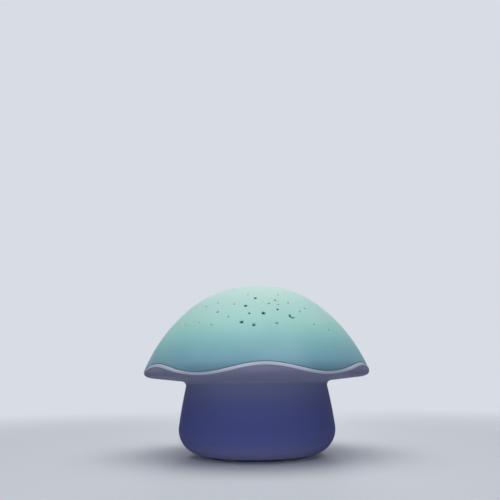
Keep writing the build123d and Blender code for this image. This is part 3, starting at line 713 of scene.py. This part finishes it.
def profileMesh(name, section):
    # the section at a trough; each point keeps its way to a crest, and how far half way leaves that line
    (low, beadRows), (middle, _), (high, _) = (section(z) for z in (trough, seam["height"], crest))
    mesh = bpy.data.meshes.new(name)
    mesh.from_pydata([(r * mm, 0, z * mm) for r, z in low], [(i, i + 1) for i in range(len(low) - 1)], [])
    swell = mesh.attributes.new("swell", "FLOAT_VECTOR", "POINT")
    belly = mesh.attributes.new("belly", "FLOAT_VECTOR", "POINT")
    for row, (first, half, last) in enumerate(zip(low, middle, high)):
        swell.data[row].vector = ((last[0] - first[0]) * mm, 0, (last[1] - first[1]) * mm)
        r, z = (half[axis] - (first[axis] + last[axis]) / 2 for axis in (0, 1))
        belly.data[row].vector = (r * mm, 0, z * mm)
    # the bead's rows, which the shell's finish paints pale as a painted highlight
    band = mesh.attributes.new("bead", "FLOAT", "POINT")
    for row in beadRows:
        band.data[row].value = 1.0
    return mesh


# A geometry tree, with the nodes that the trees here share
class Form(Graph):
    def __init__(self, name, inputs):
        tree = bpy.data.node_groups.new(name, "GeometryNodeTree")
        for label, kind in {"Geometry": "Geometry", **inputs, "Material": "Material"}.items():
            tree.interface.new_socket(label, in_out="INPUT", socket_type="NodeSocket" + kind)
        tree.interface.new_socket("Geometry", in_out="OUTPUT", socket_type="NodeSocketGeometry")
        super().__init__(tree)
        entry = self.node("NodeGroupInput").socket.node
        self.given = {socket.name: Feed(self, socket) for socket in entry.outputs if socket.name}

    def place(self):
        return self.node("GeometryNodeInputPosition")

    def combine(self, x, y, z):
        return self.node("ShaderNodeCombineXYZ", None, {"X": x, "Y": y, "Z": z})

    def split(self, vector):
        made = self.node("ShaderNodeSeparateXYZ", None, {"Vector": vector}).socket.node
        return [Feed(self, output) for output in made.outputs]

    def named(self, name, kind="FLOAT"):
        return self.node("GeometryNodeInputNamedAttribute", {"data_type": kind}, {"Name": name})

    def stored(self, points, name, value):
        settings = {"data_type": "FLOAT", "domain": "POINT"}
        values = {"Geometry": points, "Name": name, "Value": value}
        return self.node("GeometryNodeStoreNamedAttribute", settings, values)

    def sampled(self, value, index, kind="FLOAT_VECTOR"):  # read off the points that come in
        settings = {"data_type": kind, "domain": "POINT"}
        values = {"Geometry": self.given["Geometry"], "Value": value, "Index": index}
        return self.node("GeometryNodeSampleIndex", settings, values)

    def outline(self, name):  # the geometry of an object that is given
        return self.node("GeometryNodeObjectInfo", None, {"Object": self.given[name]}, "Geometry")

    def moved(self, geometry, place):
        return self.node("GeometryNodeSetPosition", None, {"Geometry": geometry, "Position": place})

    def copied(self, piece, points, values=None):  # an instance on each point
        values = {"Points": points, "Instance": piece, **(values or {})}
        return self.node("GeometryNodeInstanceOnPoints", None, values)

    def realised(self, geometry):
        return self.node("GeometryNodeRealizeInstances", None, {0: geometry})

    def together(self, *parts):
        joint = self.node("GeometryNodeJoinGeometry")
        for part in parts:
            self.tree.links.new(part.socket, joint.socket.node.inputs[0])
        return joint

    def welded(self, geometry, distance):
        return self.node("GeometryNodeMergeByDistance", None, {"Geometry": geometry, "Distance": distance})

    def ring(self, radius, count):
        return self.node("GeometryNodeCurvePrimitiveCircle", None, {"Resolution": count, "Radius": radius})

    def filled(self, curve):
        return self.node("GeometryNodeFillCurve", {"mode": "NGONS"}, {0: curve})

    def tube(self, line, radius, count, scale=1.0):
        values = {0: line, 1: self.ring(radius, count), "Fill Caps": True, "Scale": scale}
        return self.node("GeometryNodeCurveToMesh", None, values)

    def close(self, geometry, sharp=0.5):
        # realised, shaded smooth up to the sharp edges, and given its material
        angle = self.node("GeometryNodeInputMeshEdgeAngle", None, None, "Unsigned Angle")
        solid = self.realised(geometry)
        smooth = self.node("GeometryNodeSetShadeSmooth", {"domain": "FACE"}, {0: solid, 2: True})
        creases = {0: smooth, 1: angle > sharp, 2: False}
        creased = self.node("GeometryNodeSetShadeSmooth", {"domain": "EDGE"}, creases)
        coated = {0: creased, "Material": self.given["Material"]}
        self.node("NodeGroupOutput", None, {0: self.node("GeometryNodeSetMaterial", None, coated)})
        return self.tree


def waveLathe():
    # spins the section about Z and lifts it from trough to crest, then cuts the holes
    form = Form("waveLathe", {"Turns": "Int", "Rows": "Int", "Lobes": "Float", "Cutters": "Object"})
    turns, rows = form.given["Turns"], form.given["Rows"]
    sheet = form.node("GeometryNodeMeshGrid", None, {0: turns, 1: rows - 1, 2: turns + 1, 3: rows})
    across, down, _ = form.split(form.place())
    turn = (across + turns / 2) / turns * (2 * pi)
    row = form.node("FunctionNodeFloatToInt", {"rounding_mode": "ROUND"}, {0: down + (rows - 1) / 2})
    r, _, z = form.split(form.sampled(form.place(), row))
    widen, _, lift = form.split(form.sampled(form.named("swell", "FLOAT_VECTOR"), row))
    bulge, _, arch = form.split(form.sampled(form.named("belly", "FLOAT_VECTOR"), row))
    wave = ((turn * form.given["Lobes"]).cosine() + 1) / 2
    between = wave * (1 - wave) * 4
    r = r + widen * wave + bulge * between
    place = form.combine(r * turn.sine(), 0 - r * turn.cosine(), z + lift * wave + arch * between)
    marked = form.stored(sheet, "bead", form.sampled(form.named("bead"), row, "FLOAT"))
    whole = form.welded(form.moved(marked, place), 1e-6)
    settings = {"operation": "DIFFERENCE", "solver": "MANIFOLD"}
    parts = {"Mesh 1": whole, "Mesh 2": form.outline("Cutters")}
    return form.close(form.node("GeometryNodeMeshBoolean", settings, parts, "Mesh"))


def settle(piece, tree, values):
    # runs the tree on the piece, and keeps the result as a plain mesh
    modifier = piece.modifiers.new("form", "NODES")
    modifier.node_group = tree
    for item in tree.interface.items_tree:
        if item.in_out == "INPUT" and item.name in values:
            modifier[item.identifier] = values[item.name]
    depsgraph = bpy.context.evaluated_depsgraph_get()
    mesh = bpy.data.meshes.new_from_object(piece.evaluated_get(depsgraph), depsgraph=depsgraph)
    piece.modifiers.remove(modifier)
    piece.data = mesh
    mesh.name = piece.name
    return piece


# Windows in the cap: azimuth from the front and angle from the top in degrees, width in mm
stars = [
    (-12, 56, 3.5), (1, 50, 3.5), (-11, 44, 3.0), (-5, 58, 3.2), (-8, 50, 2.3), (11, 47, 2.4),
    (8, 57, 2.3), (-30, 48, 2.2), (-21, 52, 1.6), (-30, 57, 1.5), (-40, 55, 1.4), (-20, 42, 1.5),
    (-4, 37, 2.8), (-11, 33, 1.1), (6, 42, 1.2), (12, 39, 1.3), (13, 43, 1.0), (22, 41, 1.1),
    (34, 45, 1.3), (27, 48, 1.9), (32, 57, 1.9), (-45, 42, 1.9), (-35, 40, 1.1), (18, 33, 1.1),
    (48, 55, 1.4), (42, 60, 1.3), (-52, 55, 1.3), (-34, 24, 2.0), (25, 20, 1.3), (2, 14, 1.6),
]
windows = {
    "sectors": 3,
    "dotLimit": 1.4,       # mm, narrower windows are round
    "waist": 0.5,          # a star's inner radius over its outer one
    "depth": 12.0,         # mm, cutters reach this far either side of the crown
    "paneInside": 1.9,     # mm, panes reach from here
    "paneSunk": 0.2,       # to here below the crown
    "paneGap": 0.03,
    "moonPlace": (19, 52),
    "moonRadius": 1.85,
    "biteRadius": 1.4,
    "biteShift": 1.1,
    "moonTilt": 38.0,
}


def crescent(name):
    # a disc with a bite out of it, each side an arc between the two tips
    radius, bite, shift = windows["moonRadius"], windows["biteRadius"], windows["biteShift"]
    along = (radius ** 2 - bite ** 2 + shift ** 2) / (2 * shift)
    outerTip = degrees(acos(along / radius))
    biteTip = degrees(acos((along - shift) / bite))
    outline = arc(0, 0, radius, outerTip, 360 - outerTip, 28)
    outline += arc(shift, 0, bite, -biteTip, -360 + biteTip, 22)[1:-1]
    mesh = bpy.data.meshes.new(name)
    mesh.from_pydata([(x * mm, y * mm, 0) for x, y in outline], [], [range(len(outline))])
    mesh.transform(Matrix.Rotation(radians(windows["moonTilt"]), 4, "Z"))
    return addObject(name, mesh)


def windowShapes():
    # the layout's points carry azimuth, angle and width as x, y and z
    form = Form("windowShapes", {
        "Crown radius": "Float", "Crown height": "Float", "Inside": "Float", "Outside": "Float",
        "Gap": "Float", "Dot limit": "Float", "Waist": "Float", "Moon width": "Float",
        "Sectors": "Int", "Moon": "Object",
    })
    given = form.given
    labels = ("azimuth", "angle", "width")
    points = given["Geometry"]
    for label, value in zip(labels, form.split(form.place())):
        points = form.stored(points, label, value)
    azimuth, angle, width = (form.named(label) for label in labels)
    out = angle.sine() * given["Crown radius"]
    up = angle.cosine() * given["Crown radius"] + given["Crown height"]
    points = form.moved(points, form.combine(out * azimuth.sine(), 0 - out * azimuth.cosine(), up))

    # flat faces: stars with a point to the top of the cap and dots, one unit wide, and the moon as it is
    radii = {"Points": 5, "Inner Radius": given["Waist"] / 2, "Outer Radius": 0.5}
    star = form.filled(form.node("GeometryNodeCurveStar", None, radii))
    star = form.node("GeometryNodeTransform", None, {"Geometry": star, "Rotation": (0, 0, pi / 2)})
    dot = form.filled(form.ring(0.5, 16))
    moon = form.named("moon", "BOOLEAN")
    small = width < given["Dot limit"]
    spin = form.node("FunctionNodeEulerToRotation", None, {0: form.combine(angle, 0, azimuth)})
    size = width - given["Gap"] * 2
    moonSize = 1 - given["Gap"] * 2 / given["Moon width"]
    faces = (
        (star, (1 - small) * (1 - moon), size),
        (dot, small * (1 - moon), size),
        (form.outline("Moon"), moon, moonSize),
    )
    flat = form.realised(form.together(*(
        form.copied(face, points, {"Selection": chosen, "Rotation": spin, "Scale": scale})
        for face, chosen, scale in faces
    )))

    # sunk to the inside, drawn out to the outside, and repeated round the cap
    sinking = {0: form.node("GeometryNodeInputNormal"), "Scale": 0 - given["Inside"]}
    inward = form.node("ShaderNodeVectorMath", {"operation": "SCALE"}, sinking)
    sunk = form.node("GeometryNodeSetPosition", None, {"Geometry": flat, "Offset": inward})
    drawing = {"Mesh": sunk, "Offset Scale": given["Inside"] + given["Outside"], "Individual": True}
    walls = form.node("GeometryNodeExtrudeMesh", {"mode": "FACES"}, drawing, "Mesh")
    base = form.node("GeometryNodeFlipFaces", None, {0: sunk})
    solid = form.welded(form.together(base, walls), 1e-7)
    repeats = {"Count": given["Sectors"], "Offset": (0, 0, 0)}
    sectors = form.node("GeometryNodeMeshLine", {"mode": "OFFSET"}, repeats)
    turn = form.node("GeometryNodeInputIndex") * (2 * pi) / given["Sectors"]
    return form.close(form.copied(solid, sectors, {"Rotation": form.combine(0, 0, turn)}))


print("windows")
layout = bpy.data.meshes.new("windowLayout")
places = stars + [(*windows["moonPlace"], windows["moonRadius"])]
layout.from_pydata([(radians(turn), radians(angle), width * mm) for turn, angle, width in places], [], [])
isMoon = layout.attributes.new("moon", "BOOLEAN", "POINT")
isMoon.data[len(stars)].value = True
moonShape = crescent("moonShape")
windowTree = windowShapes()


def windowPieces(name, inside, outside, gap, material):
    return settle(addObject(name, layout.copy()), windowTree, {
        "Crown radius": shape["crownRadius"] * mm,
        "Crown height": crownZ * mm,
        "Inside": inside * mm,
        "Outside": outside * mm,
        "Gap": gap * mm,
        "Dot limit": windows["dotLimit"] * mm,
        "Waist": windows["waist"],
        "Sectors": windows["sectors"],
        "Moon": moonShape,
        "Moon width": 2 * windows["moonRadius"] * mm,
        "Material": material,
    })


cutters = windowPieces("starCutters", windows["depth"], windows["depth"], 0.0, capFinish)
panes = windowPieces(
    "windowPanes", windows["paneInside"], -windows["paneSunk"], windows["paneGap"], paneFinish,
)
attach(panes, "base")

print("cap and body")
lathe = waveLathe()


def spun(name, section, cutter, material, node):
    mesh = profileMesh(name, section)
    piece = settle(addObject(name, mesh), lathe, {
        "Turns": shape["turns"],
        "Rows": len(mesh.vertices),
        "Lobes": float(seam["lobes"]),
        "Cutters": cutter,
        "Material": material,
    })
    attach(piece, "base")
    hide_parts(node)
    return piece


# the opening for the control panel, in mm
panel = {"height": 29.0, "length": 42.0, "width": 18.0, "gap": 0.15, "cutFrom": 28.0, "cutTo": 70.0}


def panelCutter(name):
    # the panel's outline in X and Z, drawn out along Y
    radius = panel["width"] / 2 + panel["gap"]
    middle = (panel["length"] - panel["width"]) / 2
    outline = arc(middle, panel["height"], radius, -90, 90, 24)
    outline += arc(-middle, panel["height"], radius, 90, 270, 24)
    count = len(outline)
    spots = [(x * mm, y * mm, z * mm) for y in (panel["cutFrom"], panel["cutTo"]) for x, z in outline]
    sides = [(i, i + count, (i + 1) % count + count, (i + 1) % count) for i in range(count)]
    mesh = bpy.data.meshes.new(name)
    mesh.from_pydata(spots, [], sides + [range(count), range(2 * count - 1, count - 1, -1)])
    return addObject(name, mesh)


holeCutter = panelCutter("holeCutter")
capShell = spun("capShell", capSection, cutters, capFinish, "cap_shell")
bodyShell = spun("bodyShell", bodySection, holeCutter, shellFinish, "body_shell")
for spare in (cutters, holeCutter, moonShape):
    bpy.data.objects.remove(spare)
for piece in (capShell, bodyShell):
    print(piece.name, len(piece.data.vertices), "points", len(piece.data.polygons), "faces")


# Raised marks on the three buttons, drawn flat in X and Z round each button's middle
marks = {
    "line": 0.3,           # mm, radius of a raised line
    "lift": 0.02,          # mm, the line's middle above the button's face
    "proud": 1.2,          # mm, the button's face outside the stem
    "size": 1.9,           # mm, radius of a mark
    "pitch": 12.5,
}


def ringLine(radius, start=0.0, end=360.0, count=40):
    points = arc(0, 0, radius, start, end, count)
    whole = end - start == 360.0
    return points[:-1] if whole else points, whole


def powerMark():
    size = marks["size"]
    return [ringLine(size, 125, 415, 36), ([(0, size * 0.2), (0, size * 1.15)], False)]


def dropMark():
    size = marks["size"]
    belly = arc(0, -0.3 * size, size * 0.85, 150, 390, 30)
    tip = (0.0, size * 1.35)
    right = bend(belly[-1], (belly[-1][0] * 0.72, belly[-1][1] + 0.6), (0.3, tip[1] - 0.75), tip, 8)
    left = [(-x, z) for x, z in reversed(right)]
    return [(belly + right[1:] + left[1:-1], True)]


def clockMark():
    size = marks["size"]
    return [ringLine(size), ([(0, size * 0.6), (0, 0), (size * 0.45, -size * 0.28)], False)]


def lineMesh(name, lines, x, z):
    spots, edges = [], []
    for points, whole in lines:
        first = len(spots)
        spots += [((across + x) * mm, 0, (up + z) * mm) for across, up in points]
        edges += [(first + step, first + step + 1) for step in range(len(points) - 1)]
        if whole:
            edges.append((len(spots) - 1, first))
    mesh = bpy.data.meshes.new(name)
    mesh.from_pydata(spots, edges, [])
    return mesh


def raisedLines():
    # lays flat lines on the stem's flare at the back, and rounds them into ridges
    form = Form("raisedLines", {
        "Flare radius": "Float", "Flare out": "Float", "Flare height": "Float", "Proud": "Float",
        "Line radius": "Float",
    })
    given = form.given
    x, _, z = form.split(form.place())
    sweep = given["Flare radius"] + given["Proud"]
    up = z - given["Flare height"]
    out = given["Flare out"] + (sweep * sweep - up * up).root()
    laid = form.moved(given["Geometry"], form.combine(x, (out * out - x * x).root(), z))
    lines = form.node("GeometryNodeMeshToCurve", None, {0: laid})
    return form.close(form.tube(lines, given["Line radius"], 12), 0.9)


print("marks")
markTree = raisedLines()
markPlaces = (("power", powerMark, -1), ("colour", dropMark, 0), ("timer", clockMark, 1))
for name, drawn, side in markPlaces:
    # seen from behind, right and left change places
    lines = [([(-x, z) for x, z in points], whole) for points, whole in drawn()]
    mesh = lineMesh(name + "Mark", lines, side * marks["pitch"], panel["height"])
    mark = settle(addObject(name + "Mark", mesh), markTree, {
        "Flare radius": shape["flareRadius"] * mm,
        "Flare out": flareR * mm,
        "Flare height": flareZ * mm,
        "Proud": (marks["proud"] + marks["lift"]) * mm,
        "Line radius": marks["line"] * mm,
        "Material": markFinish,
    })
    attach(mark, name + "_button")


# Grip ridges across the battery door
ridges = {"count": 6, "pitch": 1.7, "length": 15.0, "radius": 0.42, "start": 17.5, "sunk": 0.02}  # mm


def gripRidges():
    # a row of bars along Y that thin out to their ends
    form = Form("gripRidges", {"Count": "Int", "Pitch": "Float", "Length": "Float", "Radius": "Float"})
    given = form.given
    half = given["Length"] / 2
    ends = {"Start": form.combine(0, 0 - half, 0), "End": form.combine(0, half, 0)}
    line = form.node("GeometryNodeCurvePrimitiveLine", None, ends)
    fine = form.node("GeometryNodeResampleCurve", None, {0: line, "Count": 25})
    share = form.node("GeometryNodeSplineParameter", None, None, "Factor") * 2 - 1
    taper = (1 - share * share * share * share).root() * 0.97 + 0.03
    ridge = form.tube(fine, given["Radius"], 14, taper)
    steps = {"Count": given["Count"], "Offset": form.combine(given["Pitch"], 0, 0)}
    row = form.node("GeometryNodeMeshLine", {"mode": "OFFSET"}, steps)
    spots = form.realised(form.copied(row, given["Geometry"]))
    return form.close(form.copied(ridge, spots), 0.9)


print("door ridges")
doorLow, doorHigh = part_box("battery_door")
firstRidge = bpy.data.meshes.new("doorRidges")
middle = (doorLow.y + doorHigh.y) / 2
height = (shape["footHeight"] + ridges["sunk"]) * mm
firstRidge.from_pydata([(ridges["start"] * mm, middle, height)], [], [])
doorRidges = settle(addObject("doorRidges", firstRidge), gripRidges(), {
    "Count": ridges["count"],
    "Pitch": ridges["pitch"] * mm,
    "Length": ridges["length"] * mm,
    "Radius": ridges["radius"] * mm,
    "Material": shellFinish,
})
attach(doorRidges, "battery_door")


# The studio, in m
print("studio")
studio = {
    "paper": srgb(216, 220, 228),      # as the camera sees it
    "bounce": srgb(137, 139, 150),     # as light meets it, so that it throws less back
    "lit": 0.16,                       # lit by the lamps up to here, and evenly pale past "plain"
    "plain": 0.6,
    "reach": 9.0,
    "level": 0.3,                      # flat up to here, then it curves up to the wall
    "curve": 0.9,
    "back": 1.6,
    "wall": 5.0,
    "clearAndShadowFades": 0.0305,              # light comes up through the sheet within this radius, and the camera sees it painted near black there as a painted contact shadow
    "clearAndShadowEnds": 0.0375,
    "airTone": (0.93, 0.94, 0.97, 1.0),
    "air": 0.08,                       # strength of the world's light
}


def backdrop():
    outline = [(-studio["reach"], 0.0), (studio["level"], 0.0)]
    outline += arc(studio["back"] - studio["curve"], studio["curve"], studio["curve"], -90, 0, 16)
    outline.append((studio["back"], studio["wall"]))
    mesh = bpy.data.meshes.new("backdrop")
    half = studio["reach"] / 2
    spots = [(side * half, y, z) for y, z in outline for side in (-1, 1)]
    mesh.from_pydata(spots, [], [(2 * i, 2 * i + 1, 2 * i + 3, 2 * i + 2) for i in range(len(outline) - 1)])
    for face in mesh.polygons:
        face.use_smooth = True
    return addObject("backdrop", mesh)


def floorPaper():
    finish = Finish("floorPaper")
    fibre = finish.noise(1.5, 4.0, 0.6)
    seen = finish.seen()
    paper = finish.mix(fibre * 0.05, studio["paper"], srgb(240, 240, 240))
    x, y, z = (finish.along(axis) for axis in "XYZ")
    away = (x * x + y * y + z * z).root().step(studio["lit"], studio["plain"])
    middle = 1 - (x * x + y * y).root().step(studio["clearAndShadowFades"], studio["clearAndShadowEnds"])
    # painted shadow: within that radius the sheet is painted near black, as the contact shadow under the
    # object
    tone = finish.mix(middle, finish.mix(seen, studio["bounce"], paper), srgb(12, 12, 16))
    sheet = finish.shader({"Base Color": tone, "Roughness": 0.75 + 0.1 * fibre})
    glow = finish.node("ShaderNodeEmission", None, {"Color": studio["paper"]})
    lit = finish.node("ShaderNodeMixShader", None, {0: away * seen, 1: sheet, 2: glow})
    # clear to a camera below it, and to the light that goes up to the underside
    looking = finish.node("ShaderNodeLightPath", None, None, "Is Camera Ray")
    below = finish.node("ShaderNodeNewGeometry", None, None, "Backfacing")
    clear = finish.node("ShaderNodeBsdfTransparent")
    share = looking * below + (1 - looking) * middle
    return finish.output(finish.node("ShaderNodeMixShader", None, {0: share, 1: lit, 2: clear}))


floor = backdrop()
floor.data.materials.append(floorPaper())


# name, place and the height on the axis that it faces, in m; width and depth, in m; power in W; colour
lamps = (
    ("topSoft", (0.0, -0.05, 0.80), 0.08, 1.2, 0.9, 6.3, (0.98, 1.0, 0.99)),
    ("backFill", (0.10, 1.0, 0.16), 0.04, 0.35, 0.3, 2.6, (0.94, 0.96, 1.0)),
    ("leftFill", (-1.0, 0.15, 0.14), 0.04, 0.35, 0.3, 0.3, (1.0, 0.98, 0.97)),
    ("rightFill", (1.0, 0.15, 0.14), 0.04, 0.35, 0.3, 0.3, (1.0, 0.98, 0.97)),
    ("underFill", (0.0, 0.0, -0.7), 0.0, 0.5, 0.5, 1.0, (0.96, 0.98, 1.0)),
    ("frontFill", (-0.10, -1.0, 0.10), 0.05, 0.6, 0.18, 3.85, (0.92, 0.95, 1.0)),
)
for name, place, aim, width, depth, power, colour in lamps:
    data = bpy.data.lights.new(name, "AREA")
    data.shape = "RECTANGLE"
    data.size = width
    data.size_y = depth
    data.energy = power
    data.color = colour
    light = addObject(name, data)
    light.location = place
    light.rotation_euler = (Vector((0, 0, aim)) - Vector(place)).to_track_quat("-Z", "Y").to_euler()

world = bpy.data.worlds.new("studioAir")
world.use_nodes = True
air = Graph(world.node_tree)
glow = air.node("ShaderNodeBackground", None, {"Color": studio["airTone"], "Strength": studio["air"]})
paper = air.node("ShaderNodeBackground", None, {"Color": studio["paper"], "Strength": 1.0})
sky = air.node("ShaderNodeMixShader", None, {0: air.seen(), 1: glow, 2: paper})
air.node("ShaderNodeOutputWorld", None, {"Surface": sky})
scene.world = world
scene.view_settings.view_transform = "Standard"

# The camera
view = {
    "azimuth": 3.87,       # degrees round to the left of the front
    "distance": 0.362,     # m from the axis
    "eye": 0.0464,         # m above the floor
    "focus": 1.15,         # the lens's length over the sensor's width
    "pitch": 3.0,          # degrees
    "yaw": 0.605,
    "roll": 0.6,
    "shift": 0.20,
    "near": 0.01,          # m
    "far": 20.0,
}
azimuth, pitch, roll = (radians(view[name]) for name in ("azimuth", "pitch", "roll"))
ahead = Vector((sin(azimuth), cos(azimuth), 0.0))
ahead.rotate(Matrix.Rotation(radians(view["yaw"]), 3, "Z"))
ahead = (ahead * cos(pitch) + Vector((0, 0, sin(pitch)))).normalized()
right = ahead.cross(Vector((0, 0, 1))).normalized()
up = right.cross(ahead) * cos(roll) + right * sin(roll)
side = ahead.cross(up)
camera = addObject("camera", bpy.data.cameras.new("camera"))
camera.data.lens = view["focus"] * camera.data.sensor_width
camera.data.shift_y = view["shift"]
camera.data.clip_start = view["near"]
camera.data.clip_end = view["far"]
start = Vector((-sin(azimuth), -cos(azimuth), 0)) * view["distance"] + Vector((0, 0, view["eye"]))
camera.matrix_world = Matrix.Translation(start) @ Matrix((side, up, -ahead)).transposed().to_4x4()
scene.camera = camera
